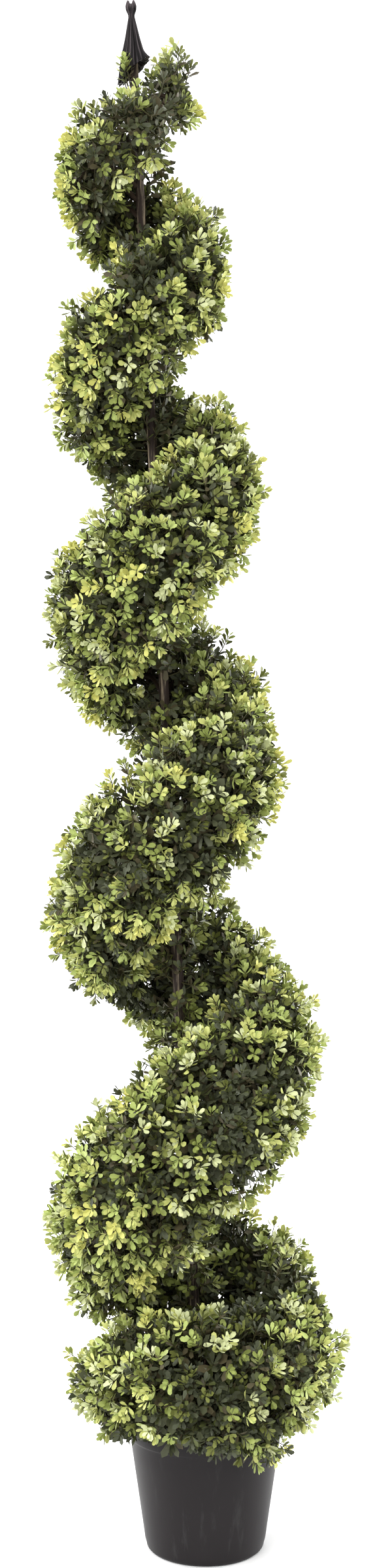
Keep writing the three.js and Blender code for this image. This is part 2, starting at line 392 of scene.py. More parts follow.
def scattered(strand, spacing, rng, tries=160000):
    """Places on the strand's surface, evenly spread and no nearer to each other than the spacing."""
    t = rng.uniform(0.01, strand.sizes.turns - 0.005, tries)
    a = rng.uniform(-np.pi, np.pi, tries)
    area = strand.slopes(t, a)[1]
    kept = rng.uniform(0, np.percentile(area, 99.5), tries) < area
    t, a = t[kept], a[kept]
    places = strand.point(t, a)
    cells, chosen = {}, []
    for i, cell in enumerate(map(tuple, np.floor(places / spacing).astype(int))):
        near = (
            cells.get((cell[0] + dx, cell[1] + dy, cell[2] + dz), ())
            for dx in (-1, 0, 1)
            for dy in (-1, 0, 1)
            for dz in (-1, 0, 1)
        )
        if all(math.dist(places[i], places[j]) >= spacing for group in near for j in group):
            cells.setdefault(cell, []).append(i)
            chosen.append(i)
    return t[chosen], a[chosen]


def unit(vectors):
    return vectors / np.maximum(np.linalg.norm(vectors, axis=-1, keepdims=True), 1e-9)


CLEAR_OF_BAND = 0.004
CLEAR_OF_RIM = 0.006


def clear_of_pot(points):
    """True where a point keeps off the pot's mouth, band and wall."""
    radius = np.hypot(points[:, 0], points[:, 1])
    return (radius > POT_HIGH.x + CLEAR_OF_BAND) | (points[:, 2] > POT_HIGH.z + CLEAR_OF_RIM)


def turned_from(axis, polar, around):
    """Unit directions at a polar angle from the axis and an angle round it."""
    side = unit(np.cross(axis, [0.31, -0.17, 0.94]))
    across = np.cross(axis, side)
    out = side * np.cos(around)[:, None] + across * np.sin(around)[:, None]
    return axis * np.cos(polar)[:, None] + out * np.sin(polar)[:, None]


class Sprigs:
    """Every sprig of the plant: its fork, its tip, its bend and the tones of its leaves."""

    # Patches of tufts: their size, how far kinds mix at random, how much darker they get for each
    # metre lower down, as painted shade, and how much brighter, as painted rim light, at the sides, which
    # face neither front nor back.
    PATCH = 0.05
    MIXING = 0.13
    PAINTED_SHADE_BELOW = 0.4
    PAINTED_RIM_LIGHT = 0.8
    SIDE_FACING = 0.8
    # The first turns are thinner and wilder: where they end, tufts kept there, and strays there.
    THIN_TOP = 0.62
    KEPT_AT_TOP = 0.75
    STRAYS = 0.2
    STRAYS_AT_TOP = 2.5
    STRAY_REACH = 0.25
    # Tufts this near the pole are of the last, dark kind: painted shade where the pole and the turns above
    # shadow them.
    POLE_SHADE = 0.024
    # Deep sprigs: shares of the way out at which they start and end, and size of their blades.
    CORE_FORK = 0.3
    CORE_TIP = 0.68
    CORE_BLADE = 1.8
    # Sprigs on the pole: heights, reach, rise, and turn from one to the next. Below the pot's cover
    # all are kept, beside the wrap only the short ones, and those behind the pole reach further.
    POLE_HEIGHTS = (0.19, 1.735)
    POLE_REACH = (0.016, 0.038)
    POLE_RISE = (-0.010, 0.022)
    POLE_TURN = 2.39996
    POT_COVER = 0.26
    WRAP_CLEAR = 1.705
    SHORT = 0.02
    BACK = 0.3  # sine of the bearing past which a sprig is behind the pole
    BACK_REACH = 1.35
    # The tuft in front of the wrap: turn and reach of each sprig.
    CREST = ((-0.1, 0.017), (0.15, 0.022), (0.35, 0.025), (0.0, 0.017))
    CREST_BEARING = 4.0
    CREST_HEIGHT = 1.748
    CREST_STEM = 0.03
    CREST_STEP = 0.005
    CREST_BLADE = 0.85
    # The ring's underside, and where the left of its front is lifted.
    LOWEST = 0.143
    LIFT = 0.015
    LIFT_MIDDLE = -0.06
    LIFT_SPREAD = 0.05
    LIFT_END = 0.03

    def __init__(self, strand, sizes):
        self.rng = np.random.default_rng(sizes.seed)
        self.grown = []
        self.tuft_forks = self.grow_tufts(strand, sizes)
        self.grow_core(strand, sizes)
        self.grow_on_pole(strand, sizes)
        fork, tip, leafy, blade, tones = (np.concatenate(column) for column in zip(*self.grown))
        fit = clear_of_pot(tip) & clear_of_pot(fork * 0.4 + tip * 0.6) & self.above_underside(tip)
        self.fork, self.tip, self.tones = fork[fit], tip[fit], tones[fit]
        self.leafy, self.blade = leafy[fit], blade[fit]
        self.stem = np.linalg.norm(self.tip - self.fork, axis=-1)
        self.aim = unit(self.tip - self.fork)
        self.side = unit(np.cross(self.aim, self.rng.normal(0, 1, self.aim.shape)))
        self.bend = self.rng.uniform(0.02, 0.1, len(self.tip)) * self.stem

    def add(self, fork, tip, leafy, kinds, names, blade=1.0):
        """Adds sprigs whose ladders are drawn, by kind of tuft, from the names for that kind."""
        order = list(LADDERS)
        table = np.array([[LEAF_TONES.index(tone) for tone in LADDERS[name]] for name in order])
        tones = np.zeros((len(tip), 6), int)
        for kind, choices in enumerate(names):
            mine = kinds == kind
            picks = self.rng.choice([order.index(name) for name in choices], mine.sum())
            tones[mine] = table[picks]
        self.grown.append((fork, tip, np.full(len(tip), leafy), np.full(len(tip), blade), tones))

    def above_underside(self, tip):
        """True where a tip is above the ring's underside, which is lifted at the left of the front."""
        lifted = self.LIFT * np.exp(-(((tip[:, 0] - self.LIFT_MIDDLE) / self.LIFT_SPREAD) ** 2))
        return (tip[:, 2] > self.LOWEST + lifted) | (tip[:, 1] > 0) | (tip[:, 0] > self.LIFT_END)

    def patched(self, places, facing):
        """Kinds of tuft dealt out in patches, front and back each with the same share of every kind."""
        slow = np.array([noise.noise(Vector(place) / self.PATCH) for place in places])
        # Painted shade: tufts lower down get darker kinds.
        slow -= self.PAINTED_SHADE_BELOW * places[:, 2]
        # Painted rim light: tufts at the sides, facing neither front nor back, get brighter kinds.
        slow -= self.PAINTED_RIM_LIGHT * np.maximum(0, self.SIDE_FACING - np.abs(facing[:, 1]))
        # Painted shade and painted light on the front only, mixed with duller and brighter leaves.
        for x, z, spread, darkening in FRONT_SHADE_AND_LIGHT:
            away = np.hypot(places[:, 0] - x, places[:, 2] - z) / spread
            slow += darkening * np.exp(-(away**2)) * (places[:, 1] < 0)
        slow += self.rng.normal(0, self.MIXING, len(places))
        shares = np.cumsum([share for share, *_ in TUFTS[:-2]])
        kinds = np.zeros(len(places), int)
        for half in (places[:, 1] < 0, places[:, 1] >= 0):
            rank = np.argsort(np.argsort(slow[half]))
            kinds[half] = np.searchsorted(shares, rank / half.sum())
        return kinds

    def grow_tufts(self, strand, sizes):
        rng = self.rng
        t, a = scattered(strand, sizes.spacing, rng)
        kept = (t > self.THIN_TOP) | (rng.random(len(t)) < self.KEPT_AT_TOP)
        t, a = t[kept], a[kept]
        surface, middle = strand.point(t, a), strand.point(t, a, 0.0)
        normal, _ = strand.slopes(t, a)
        rise = np.array([0, 0, 0.12])
        wild = rng.normal(0, 0.2, surface.shape)
        axis = unit(0.6 * normal + 0.4 * unit(surface - middle) + wild + rise)
        room = np.linalg.norm(surface - middle, axis=-1)
        depth = np.minimum(sizes.depth, 0.92 * room) * rng.normal(1, 0.04, len(t))
        kinds = self.patched(surface, normal)
        # Painted shade: tufts near the pole take the dark last kind.
        kinds[strand.radius(surface) < strand.inner + self.POLE_SHADE] = len(TUFTS) - 1
        sunk = np.array([kind[1] for kind in TUFTS])[kinds]
        fork = surface - axis * (depth + sunk)[:, None]
        start = rng.uniform(0, 2 * np.pi, len(t))
        for many, lean, share, leafy, table in RINGS:
            for step in range(many):
                around = start + 2 * np.pi * step / many + rng.normal(0, 0.25, len(t)) + lean
                tilt = np.radians(lean + rng.normal(0, 4, len(t)))
                straying = self.STRAYS * np.where(t > self.THIN_TOP, 1, self.STRAYS_AT_TOP)
                strays = rng.random(len(t)) < straying
                stray = self.STRAY_REACH * rng.random(len(t)) * strays
                reach = depth * share * (rng.uniform(0.92, 1.05, len(t)) + stray)
                tip = fork + turned_from(axis, tilt, around) * reach[:, None]
                self.add(fork, tip, leafy, kinds, [kind[table] for kind in TUFTS])
        return fork

    def grow_core(self, strand, sizes):
        """Dark sprigs with broad leaves deep in the strand, which close it to the eye."""
        t, a = scattered(strand, sizes.core_spacing, self.rng, tries=60000)
        fork = strand.point(t, a, self.CORE_FORK)
        tip = strand.point(t + self.rng.normal(0, 0.01, len(t)), a, self.CORE_TIP)
        blade = np.where(t > self.THIN_TOP, self.CORE_BLADE, 1.0)
        self.add(fork, tip, 0.018, np.zeros(len(t), int), [("core",)], blade)

    def grow_on_pole(self, strand, sizes):
        """Short dull sprigs on the pole where it shows between the turns, and the tuft at the wrap."""
        rng = self.rng
        height = np.arange(*self.POLE_HEIGHTS, sizes.pole_step)
        around = np.arange(len(height)) * self.POLE_TURN + rng.normal(0, 0.3, len(height))
        out = rng.uniform(*self.POLE_REACH, len(height))
        up = rng.uniform(*self.POLE_RISE, len(height))
        behind = np.sin(around) > self.BACK
        out *= np.where(behind, self.BACK_REACH, 1)
        shown = ~strand.covers(around, height) | (height < self.POT_COVER)
        shown &= (height < self.WRAP_CLEAR) | (out < self.SHORT)
        for middle, span in BARE_POLE:
            shown &= (np.abs(height + up / 2 - middle) > span / 2) | behind
        around, height, out, up = around[shown], height[shown], out[shown], up[shown]
        fork = strand.upright(around, np.full(len(height), 0.005), height)
        tip = strand.upright(around, out, height + up)
        self.add(fork, tip, 0.03, np.zeros(len(height), int), [("dark", "dull", "core", "mid")])
        turn, reach = np.array(self.CREST).T
        many = len(self.CREST)
        turn = self.CREST_BEARING + turn
        height = self.CREST_HEIGHT + self.CREST_STEP * np.arange(many)
        fork = strand.upright(turn, np.full(many, 0.008), np.full(many, self.CREST_HEIGHT - self.CREST_STEM))
        tip = strand.upright(turn, reach, height)
        self.add(fork, tip, 0.03, np.zeros(many, int), [("bright", "green")], self.CREST_BLADE)

    def along(self, back):
        """The place on each stem at a distance back from its tip, and the stem's direction there."""
        share = back / self.stem
        bow = self.bend * share * (1 - share) * 4
        place = self.tip - self.aim * back[:, None] + self.side * bow[:, None]
        heading = unit(self.aim - self.side * (self.bend / self.stem * (4 - 8 * share))[:, None])
        return place, heading


# Node trees.


class Value:
    """A number in a node tree, with arithmetic."""

    def __init__(self, graph, socket):
        self.graph, self.socket = graph, socket

    def math(self, operation, a, b):
        return self.graph.add("ShaderNodeMath", {"operation": operation}, {0: a, 1: b}).value()

    def __add__(self, other):
        return self.math("ADD", self, other)

    def __mul__(self, other):
        return self.math("MULTIPLY", self, other)

    __radd__ = __add__
    __rmul__ = __mul__


class Node:
    """A node that has been added, whose outputs are asked for by name or number."""

    def __init__(self, graph, node):
        self.graph, self.node = graph, node

    def __getitem__(self, output):
        return self.node.outputs[output]

    def value(self, output=0):
        return Value(self.graph, self.node.outputs[output])


class Graph:
    """A node tree, to which nodes are added with their settings first and then their inputs."""

    def __init__(self, tree):
        self.tree = tree

    def add(self, kind, settings=None, inputs=None):
        node = self.tree.nodes.new(kind)
        for name, setting in (settings or {}).items():
            setattr(node, name, setting)
        for name, given in (inputs or {}).items():
            given = given.socket if isinstance(given, Value) else given
            if isinstance(given, bpy.types.NodeSocket):
                self.tree.links.new(given, node.inputs[name])
            else:
                node.inputs[name].default_value = given
        return Node(self, node)


def material(name, build=None, **constants):
    """A Principled material. Constants go to its own sockets, and build adds what varies."""
    made = bpy.data.materials.new(name)
    made.use_nodes = True
    graph = Graph(made.node_tree)
    shader = made.node_tree.nodes["Principled BSDF"]
    for socket, constant in constants.items():
        shader.inputs[socket.replace("_", " ")].default_value = constant
    for socket, source in (build(graph) if build else {}).items():
        source = source.socket if isinstance(source, Value) else source
        made.node_tree.links.new(source, shader.inputs[socket])
    return made


def rgba(rgb):
    return (*rgb, 1.0)


def toned(rgb, share):
    """A colour made darker or lighter by a share."""
    return rgba([c * share for c in rgb])


def mixed(graph, factor, a, b):
    return graph.add("ShaderNodeMix", {"data_type": "RGBA"}, {0: factor, 6: a, 7: b})[2]


def stretched_noise(graph, scale, stretch, detail=4.0, roughness=0.6):
    """Noise on the piece's own place, stretched by different amounts along X, Y and Z."""
    place = graph.add("ShaderNodeTexCoord")["Object"]
    mapped = graph.add("ShaderNodeMapping", None, {"Vector": place, "Scale": stretch})["Vector"]
    inputs = {"Vector": mapped, "Scale": scale, "Detail": detail, "Roughness": roughness}
    return graph.add("ShaderNodeTexNoise", None, inputs).value()


def between(graph, value, low, high):
    """The value, stretched so that low becomes 0 and high becomes 1."""
    inputs = {"Value": value, "From Min": low, "From Max": high}
    return graph.add("ShaderNodeMapRange", {"clamp": True}, inputs).value()


def bumped(graph, height, strength, distance):
    inputs = {"Height": height, "Strength": strength, "Distance": distance}
    return graph.add("ShaderNodeBump", None, inputs)["Normal"]


def plain(name, rgb, roughness):
    """One colour all over, as on leaves and twigs."""
    return material(name, Base_Color=rgba(rgb), Roughness=roughness, Specular_IOR_Level=0.25)


def pot_plastic(finish):
    def build(graph):
        cloud = stretched_noise(graph, 14, (1, 1, 1))
        # Light vertical streaks: partly scuffs, partly painted highlight streaks of the pot's sheen.
        scuff_and_sheen = between(graph, stretched_noise(graph, 90, (1, 1, 0.06), 6, 0.7), 0.56, 0.72)
        grain = stretched_noise(graph, 1500, (1, 1, 1), 2)
        ground = mixed(graph, cloud, toned(finish.plastic, 0.82), toned(finish.plastic, 1.2))
        worn_and_sheen = mixed(graph, scuff_and_sheen * 0.5, ground, rgba([max(finish.plastic) * 3] * 3))
        rough = cloud * 0.16 + scuff_and_sheen * 0.15 + 0.34
        return {"Base Color": worn_and_sheen, "Roughness": rough, "Normal": bumped(graph, grain, 0.25, 0.0002)}

    return material("Pot Plastic", build, Specular_IOR_Level=0.15)


def cast_stone(finish):
    def build(graph):
        lumps = stretched_noise(graph, 90, (1, 1, 1), 8)
        shade = mixed(graph, lumps, (0.06, 0.055, 0.05, 1), (0.22, 0.21, 0.19, 1))
        return {"Base Color": shade, "Normal": bumped(graph, lumps, 0.8, 0.003)}

    return material("Cast Ballast", build, Roughness=0.95)


def pole_bark(finish):
    def build(graph):
        long_grain = stretched_noise(graph, 260, (1, 1, 0.045), 6, 0.65)
        patches = stretched_noise(graph, 26, (1, 1, 0.35), 4)
        # Light streaks along the grain: partly light grain, partly painted highlight lines of the round pole.
        streak_and_highlight = between(graph, long_grain, 0.50, 0.66)
        ground = mixed(graph, patches, toned(finish.bark, 0.55), toned(finish.bark, 1.5))
        return {
            "Base Color": mixed(graph, streak_and_highlight * patches * 1.5, ground, rgba(finish.bark_streak)),
            "Roughness": streak_and_highlight * 0.15 + 0.68,
            "Normal": bumped(graph, long_grain, 0.7, 0.0012),
        }

    return material("Pole Bark", build, Specular_IOR_Level=0.25)


def pleated_wrap(finish):
    def build(graph):
        folds = graph.add("ShaderNodeUVMap", {"uv_map": "wrap"})["UV"]
        mapped = graph.add("ShaderNodeMapping", None, {"Vector": folds, "Scale": (38, 2, 1)})["Vector"]
        inputs = {"Vector": mapped, "Scale": 1.0, "Detail": 5.0}
        threads = graph.add("ShaderNodeTexNoise", None, inputs).value()
        up = graph.add("ShaderNodeSeparateXYZ", None, {"Vector": folds}).value(1)
        light = between(graph, threads, 0.48, 0.66) + between(graph, up, 0.70, 0.82)
        return {
            "Base Color": mixed(graph, light, toned(finish.wrap, 0.5), toned(finish.wrap, 7)),
            "Roughness": light * 0.15 + 0.55,
            "Normal": bumped(graph, threads, 0.6, 0.0006),
        }

    return material("Pleated Wrap", build, Specular_IOR_Level=0.08)


# Meshes.


def new_object(name, mesh):
    made = bpy.data.objects.new(name, mesh)
    bpy.context.scene.collection.objects.link(made)
    return made


def finished(piece, slot, *nodes):
    """The piece rides on the one body and hides the CAD nodes; the slot is not used."""
    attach(piece, "root")
    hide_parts(*nodes)
    return piece


def skin(name, rings, surface, uv_name=None):
    """A closed smooth mesh over rings of points, from the first to the last, with both ends capped."""
    rings = np.asarray(rings)
    rows, sides = rings.shape[:2]
    points = [tuple(p) for p in rings.reshape(-1, 3)]
    points += [tuple(rings[0].mean(0)), tuple(rings[-1].mean(0))]
    faces, uvs = [], []
    for i in range(rows - 1):
        for j in range(sides):
            k = (j + 1) % sides
            faces.append((i * sides + j, i * sides + k, (i + 1) * sides + k, (i + 1) * sides + j))
            u, v = (j / sides, (j + 1) / sides), (i / (rows - 1), (i + 1) / (rows - 1))
            uvs += [(u[0], v[0]), (u[1], v[0]), (u[1], v[1]), (u[0], v[1])]
    last = (rows - 1) * sides
    for j in range(sides):
        k = (j + 1) % sides
        faces += [(rows * sides, k, j), (rows * sides + 1, last + j, last + k)]
        uvs += [(j / sides, 0)] * 3 + [(j / sides, 1)] * 3
    mesh = bpy.data.meshes.new(name)
    mesh.from_pydata(points, [], faces)
    if uv_name:
        mesh.uv_layers.new(name=uv_name).data.foreach_set("uv", np.ravel(uvs))
    mesh.shade_smooth()
    mesh.materials.append(surface)
    return new_object(name, mesh)


def ring(radius, height, sides, place=lambda x, y, z: (x, y, z)):
    turns = np.arange(sides) * 2 * np.pi / sides
    radius = radius(turns) if callable(radius) else np.full(sides, radius)
    return [place(r * math.cos(u), r * math.sin(u), height) for r, u in zip(radius, turns)]


def plain_mesh(piece):
    """The piece with its modifiers applied, as a plain mesh at the same place."""
    evaluated = piece.evaluated_get(bpy.context.evaluated_depsgraph_get())
    mesh = bpy.data.meshes.new_from_object(evaluated)
    piece.modifiers.clear()
    old, piece.data = piece.data, mesh
    bpy.data.meshes.remove(old)
    return piece


def node_modifier(piece, tree, **values):
    """Adds the tree to the piece, with its inputs given by their names."""
    modifier = piece.modifiers.new(tree.name, "NODES")
    modifier.node_group = tree
    for item in tree.interface.items_tree:
        key = item.name.replace(" ", "_").lower()
        if item.in_out == "INPUT" and key in values:
            modifier[item.identifier] = values[key]
    return modifier


def geometry_tree(name, *inputs):
    """A geometry tree with its Geometry in and out, and further inputs of (name, socket type)."""
    tree = bpy.data.node_groups.new(name, "GeometryNodeTree")
    tree.interface.new_socket("Geometry", in_out="OUTPUT", socket_type="NodeSocketGeometry")
    tree.interface.new_socket("Geometry", in_out="INPUT", socket_type="NodeSocketGeometry")
    for label, kind in inputs:
        tree.interface.new_socket(label, in_out="INPUT", socket_type=kind)
    graph = Graph(tree)
    return graph, graph.add("NodeGroupInput")


def limb_tree():
    """Follows each chain of edges with a tube as thick as the chain's own thickness says."""
    graph, given = geometry_tree(
        "Limbs",
        ("Sides", "NodeSocketInt"),
        ("Stoutness", "NodeSocketFloat"),
        ("Material", "NodeSocketMaterial"),
    )
    thick = graph.add("GeometryNodeInputNamedAttribute", {"data_type": "FLOAT"}, {"Name": "thick"})
    stout = graph.add("ShaderNodeMath", {"operation": "MULTIPLY"}, {0: thick[0], 1: given["Stoutness"]})
    path = graph.add("GeometryNodeMeshToCurve", None, {"Mesh": given["Geometry"]})
    inputs = {"Resolution": given["Sides"], "Radius": 1.0}
    profile = graph.add("GeometryNodeCurvePrimitiveCircle", None, inputs)
    inputs = {"Curve": path[0], "Profile Curve": profile["Curve"], "Scale": stout[0], "Fill Caps": True}
    tube = graph.add("GeometryNodeCurveToMesh", None, inputs)
    smooth = graph.add("GeometryNodeSetShadeSmooth", None, {"Geometry": tube[0]})
    real = graph.add("GeometryNodeRealizeInstances", None, {"Geometry": smooth[0]})
    done = graph.add("GeometryNodeSetMaterial", None, {"Geometry": real[0], "Material": given["Material"]})
    graph.add("NodeGroupOutput", None, {"Geometry": done[0]})
    return graph.tree


def leaf_tree():
    """Sets one of the leaf shapes on each point, along its stalk and with its face turned up."""
    graph, given = geometry_tree(
        "Leaves",
        ("Leaf Shapes", "NodeSocketCollection"),
        ("Leaf Length", "NodeSocketFloat"),
        ("Seed", "NodeSocketInt"),
        ("Material", "NodeSocketMaterial"),
    )

    def named(name, kind):
        return graph.add("GeometryNodeInputNamedAttribute", {"data_type": kind}, {"Name": name})[0]

    inputs = {"Vector": named("stalk", "FLOAT_VECTOR")}
    along = graph.add("FunctionNodeAlignRotationToVector", {"axis": "X"}, inputs)
    settings = {"axis": "Z", "pivot_axis": "X"}
    inputs = {"Rotation": along[0], "Vector": named("face", "FLOAT_VECTOR")}
    turned = graph.add("FunctionNodeAlignRotationToVector", settings, inputs)
    inputs = {0: named("size", "FLOAT"), 1: given["Leaf Length"]}
    size = graph.add("ShaderNodeMath", {"operation": "MULTIPLY"}, inputs)
    shapes = graph.add(
        "GeometryNodeCollectionInfo",
        {"transform_space": "ORIGINAL"},
        {"Collection": given["Leaf Shapes"], "Separate Children": True, "Reset Children": True},
    )
    whole = {4: 0, 5: 2, "Seed": given["Seed"]}
    pick = graph.add("FunctionNodeRandomValue", {"data_type": "INT"}, whole)
    inputs = {
        "Points": given["Geometry"],
        "Instance": shapes[0],
        "Pick Instance": True,
        "Instance Index": pick[2],
        "Rotation": turned[0],
        "Scale": size[0],
    }
    leaves = graph.add("GeometryNodeInstanceOnPoints", None, inputs)
    real = graph.add("GeometryNodeRealizeInstances", None, {"Geometry": leaves[0]})
    done = graph.add("GeometryNodeSetMaterial", None, {"Geometry": real[0], "Material": given["Material"]})
    graph.add("NodeGroupOutput", None, {"Geometry": done[0]})
    return graph.tree


def point_mesh(name, points, edges=(), **attributes):
    """A mesh of points and edges, with a number or a vector of its own for each point."""
    mesh = bpy.data.meshes.new(name)
    mesh.from_pydata(np.asarray(points).tolist(), list(edges), [])
    for label, values in attributes.items():
        values = np.asarray(values, np.float32)
        kind, key = ("FLOAT_VECTOR", "vector") if values.ndim == 2 else ("FLOAT", "value")
        mesh.attributes.new(label, kind, "POINT").data.foreach_set(key, values.ravel())
    return mesh


def chains(paths, thick_from, thick_to):
    """Points, edges and thicknesses of many paths of equal length, an array of paths by points."""
    paths = np.asarray(paths)
    rows, steps = paths.shape[:2]
    first = np.arange(rows)[:, None] * steps + np.arange(steps - 1)[None]
    edges = np.stack([first.ravel(), first.ravel() + 1], -1).tolist()
    share = np.tile(np.linspace(0, 1, steps), rows)
    return paths.reshape(-1, 3), edges, thick_from + (thick_to - thick_from) * share


def bent(start, end, steps, sag):
    """Paths from start to end, rows of points, bowed by the vectors of sag."""
    u = np.linspace(0, 1, steps)[None, :, None]
    return start[:, None] * (1 - u) + end[:, None] * u + sag[:, None] * (4 * u * (1 - u))


def nearest(points, targets):
    """For each target, the number of the nearest point."""
    tree = KDTree(len(points))
    for i, place in enumerate(points):
        tree.insert(Vector(place), i)
    tree.balance()
    return np.array([tree.find(Vector(target))[1] for target in targets])


class Growth:
    """The whole branching, grown once and shared by the operators."""

    made = None
    # Turns from the strand's ends that no bough is nearer to, before and after they are scattered.
    FIRST_BOUGH = 0.12
    LAST_BOUGH = 0.03
    BOUGH_SCATTER = 0.15
    BOUGH_ENDS = (0.05, 0.02)
    # Boughs: distance from the pole's axis at the root, rise and reach as shares of the strand's reach.
    BOUGH_ROOT = 0.004
    BOUGH_RISE = 0.18
    BOUGH_REACH = 0.62
    BOUGH_BOW = 0.012
    BOUGH_OVER_POT = 0.02
    LIMB_BOW = 0.003

    def __init__(self, scene):
        self.strand = Strand(scene.strand_sizes)
        self.sprigs = Sprigs(self.strand, scene.sprig_sizes)
        rng = np.random.default_rng(scene.sprig_sizes.seed + 1)
        step = scene.sprig_sizes.bough_step
        turns = self.strand.sizes.turns
        t = np.arange(self.FIRST_BOUGH, turns - self.LAST_BOUGH, step)
        t = t + rng.normal(0, step * self.BOUGH_SCATTER, len(t))
        t = np.clip(t, self.BOUGH_ENDS[0], turns - self.BOUGH_ENDS[1])
        reach, middle = self.strand.reach(t), self.strand.middle(t)
        root = self.strand.placed(t, np.full(len(t), self.BOUGH_ROOT), middle - self.BOUGH_RISE * reach)
        end = self.strand.placed(t, reach * self.BOUGH_REACH, middle)
        end[:, 2] = np.maximum(end[:, 2], POT_HIGH.z + self.BOUGH_OVER_POT)
        bow = np.array([[0, 0, self.BOUGH_BOW]]) * np.ones((len(t), 1))
        self.boughs = bent(root, end, 8, bow)
        forks = self.sprigs.tuft_forks
        forks = forks[clear_of_pot(forks)]
        knots = self.boughs[:, 2:].reshape(-1, 3)
        start = knots[nearest(knots, forks)]
        self.limbs = bent(start, forks, 6, rng.normal(0, self.LIMB_BOW, forks.shape))
        shares = np.linspace(1, 0, 4)
        stems = [self.sprigs.along(self.sprigs.stem * share)[0] for share in shares]
        self.stems = np.stack(stems, 1)

    @classmethod
    def of(cls, scene):
        cls.made = cls.made or cls(scene)
        return cls.made


def tubes(name, paths, thick_from, thick_to, sides, surface):
    points, edges, thick = chains(paths, thick_from, thick_to)
    piece = new_object(name, point_mesh(name, points, edges, thick=thick))
    tree = bpy.data.node_groups.get("Limbs") or limb_tree()
    node_modifier(piece, tree, sides=sides, stoutness=1.0, material=surface)
    return plain_mesh(piece)


# Rows across a leaf's blade, each at a share of its length and with its half width.
FULL_LEAF = ((0.26, 0.09), (0.58, 0.235), (0.86, 0.205))
SIMPLE_LEAF = ((0.38, 0.16), (0.78, 0.225))
# Leaf shapes: how deep the midrib lies, and how far the tip bends up.
LEAF_BENDS = ((0.05, -0.03), (0.09, 0.10), (0.06, -0.14))


def leaf_mesh(name, rows, fold, curl):
    """A blade one unit long from its stalk at the origin, along +X and facing +Z."""
    points, faces = [(0, 0, 0)], []
    for share, half in rows:
        lift = curl * share * share
        points += [(share, -half, lift), (share, 0, lift - fold * half * 4), (share, half, lift)]
    points.append((1.0, 0, curl - fold * 0.2))
    faces += [(0, 1, 2), (0, 2, 3)]
    for a in range(1, 3 * len(rows) - 3, 3):
        faces += [(a, a + 3, a + 4, a + 1), (a + 1, a + 4, a + 5, a + 2)]
    a = 3 * len(rows) - 2
    faces += [(a, len(points) - 1, a + 1), (a + 1, len(points) - 1, a + 2)]
    mesh = bpy.data.meshes.new(name)
    mesh.from_pydata(points, [], faces)
    mesh.shade_smooth()
    return mesh


def leaf_shapes(label, rows):
    """A collection of leaf shapes, kept out of the scene."""
    shapes = bpy.data.collections.new(label)
    for number_of, (fold, curl) in enumerate(LEAF_BENDS):
        name = f"{label} {number_of}"
        shapes.objects.link(bpy.data.objects.new(name, leaf_mesh(name, rows, fold, curl)))
    return shapes


def leaf_places(sprigs):
    """Foot, stalk direction, face direction, size and tone of every leaf."""
    rng = np.random.default_rng(7)
    rows = []
    across = unit(np.cross(sprigs.aim, sprigs.side))
    twist = rng.uniform(0, 2 * np.pi, len(sprigs.tip))
    for pair, (back, spread, size, step) in enumerate(LEAF_PAIRS):
        here = np.minimum(back * rng.uniform(0.85, 1.15, len(sprigs.tip)), sprigs.stem)
        place, heading = sprigs.along(here)
        grows = (back < sprigs.stem * 0.8) & (back < sprigs.leafy)
        for half in (0, np.pi):
            around = twist + pair * np.pi / 2 + half + rng.normal(0, 0.16, len(twist))
            radial = sprigs.side * np.cos(around)[:, None] + across * np.sin(around)[:, None]
            radial = unit(radial - heading * np.sum(radial * heading, -1)[:, None])
            tilt = np.radians(spread + rng.normal(0, 8, len(twist)))[:, None]
            stalk = heading * np.cos(tilt) + radial * np.sin(tilt)
            face = heading * np.sin(tilt) - radial * np.cos(tilt)
            face = unit(face + np.cross(stalk, face) * rng.normal(0, 0.22, len(twist))[:, None])
            sizes = size * sprigs.blade * rng.normal(1, 0.09, len(twist))
            tone = sprigs.tones[:, step]
            rows.append([a[grows] for a in (place + radial * 0.0006, stalk, face, sizes, tone)])
    return [np.concatenate(column) for column in zip(*rows)]


# Operators: one for each piece or group of like pieces.


class TOPIARY_OT_pot(bpy.types.Operator):
    """Turns the nursery pot with its band and rounded foot"""

    bl_idname = "topiary.pot"
    bl_label = "Nursery Pot"
    SIDES = 120

    def execute(self, context):
        s = context.scene.pot_sizes
        top = POT_HIGH.z
        band = top - s.band

        def wall(z):
            return s.foot + s.slope * z

        profile = [(0.02, 0.0), (s.foot - s.edge - 0.001, 0.0)]
        for step in range(1, 7):
            turn = math.pi / 2 * step / 6
            profile.append((wall(0) - s.edge * (1 - math.sin(turn)), s.edge * (1 - math.cos(turn))))
        profile += [(wall(z), z) for z in np.linspace(0.012, band - 0.003, 12)]
        profile += [(wall(band) + 0.0004, band - 0.0008), (wall(band) + s.proud * 0.8, band)]
        profile += [(wall(band) + s.proud, band + 0.0009)]
        profile += [(wall(z) + s.proud, z) for z in (band + 0.008, top - 0.0045, top - 0.003)]
        lip = wall(top) + s.proud
        profile += [(lip - 0.0002, top - 0.0016), (lip - 0.0012, top - 0.0003), (lip - 0.0026, top)]
        inside = wall(top) - s.wall
        profile += [(inside + 0.0008, top - 0.0003), (inside, top - 0.0014)]
        profile += [(wall(z) - s.wall, z) for z in (0.13, 0.1, 0.05, 0.006)]
        profile += [(wall(0) - s.wall - 0.004, 0.004), (0.02, 0.004)]
        rings = [ring(r, z, self.SIDES) for r, z in profile]
        piece = skin("pot_body", rings, pot_plastic(context.scene.finishes))
        finished(piece, "pot_plastic", "pot")
        return {"FINISHED"}


class TOPIARY_OT_ballast(bpy.types.Operator):
    """Gives the cast ballast in the pot its rough finish"""

    bl_idname = "topiary.ballast"
    bl_label = "Ballast"

    def execute(self, context):
        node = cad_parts["ballast"]
        node.data.materials.clear()
        node.data.materials.append(cast_stone(context.scene.finishes))
        return {"FINISHED"}


